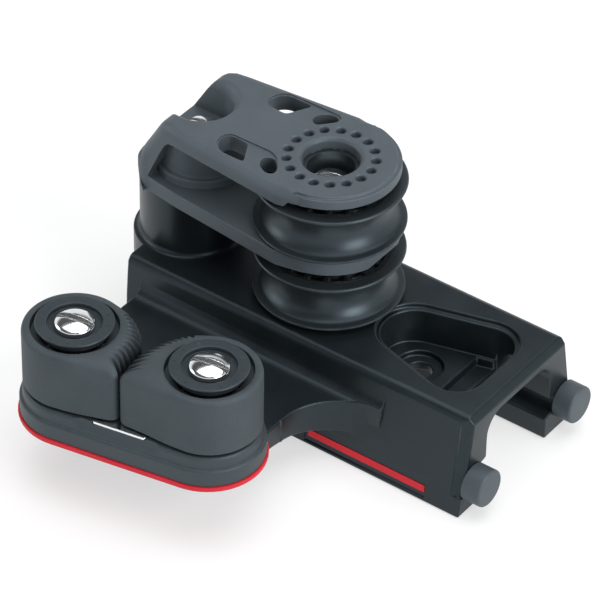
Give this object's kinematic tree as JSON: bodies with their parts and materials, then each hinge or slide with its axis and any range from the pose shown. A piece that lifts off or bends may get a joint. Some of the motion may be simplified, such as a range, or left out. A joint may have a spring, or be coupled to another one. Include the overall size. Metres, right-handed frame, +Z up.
{
  "type": "cam cleat",
  "caption": "Track end control: a saddle that straddles a rail, two stacked rope sheaves in a cheek, and a side arm carrying a sprung cam cleat.",
  "frame": {"origin": "on the track centreline at the height of the saddle's underside, directly below the sheave axis", "axes": "+X along the track towards the bumpers, +Y away from the cleat arm, +Z up along the sheave axis"},
  "size_m": [0.1268, 0.1112, 0.072],
  "materials": {
    "anodised_black": "satin black anodised, machined",
    "anodised_dark": "satin black anodised, turned",
    "moulded_black": "matte moulded composite",
    "acetal_black": "smooth",
    "rubber_black": "satin",
    "label_black": "film",
    "red_film": "film",
    "red_pad": "smooth",
    "steel": "polished stainless"
  },
  "bodies": {
    "saddle": {"end_body": "anodised_black", "axle_post": "anodised_dark", "axle_screw": "steel", "axle_insert": "steel", "race_washers": "acetal_black", "lower_race": "steel", "upper_race": "steel", "cheek": "moulded_black", "cheek_screw": "steel", "cheek_washer": "steel", "cheek_insert": "steel", "bumper_near": "rubber_black", "bumper_far": "rubber_black", "label_near": "label_black", "label_far": "label_black", "stripe_near": "red_film", "stripe_far": "red_film", "cleat_gasket": "red_pad", "cleat_base": "moulded_black", "wear_strip": "steel", "cam_posts": "steel", "cam_springs": "steel", "cam_caps": "moulded_black", "cleat_screws": "steel", "arm_inserts": "steel"},
    "lower_sheave_set": {"lower_sheave": "anodised_dark", "lower_balls": "acetal_black"},
    "upper_sheave_set": {"upper_sheave": "anodised_dark", "upper_balls": "acetal_black"},
    "left_cam_set": {"cam_left": "moulded_black", "cam_balls_left": "steel"},
    "right_cam_set": {"cam_right": "moulded_black", "cam_balls_right": "steel"}
  },
  "joints": [
    {"name": "lower_sheave_spin", "type": "hinge", "parent": "saddle", "child": "lower_sheave_set", "pos_m": [0, 0, 0.0373], "axis": [0, 0, 1], "continuous": true},
    {"name": "upper_sheave_spin", "type": "hinge", "parent": "saddle", "child": "upper_sheave_set", "pos_m": [0, 0, 0.0592], "axis": [0, 0, 1], "continuous": true},
    {"name": "cam_left_open", "type": "hinge", "parent": "saddle", "child": "left_cam_set", "pos_m": [-0.02848, -0.06956, 0.0392], "axis": [0, 0, -1], "range_deg": [0, 40], "stiffness_Nm_per_rad": 0.02, "springref_deg": -34.38},
    {"name": "cam_right_open", "type": "hinge", "parent": "saddle", "child": "right_cam_set", "pos_m": [0.00888, -0.06264, 0.0392], "axis": [0, 0, 1], "range_deg": [0, 40], "stiffness_Nm_per_rad": 0.02, "springref_deg": -34.38}
  ]
}
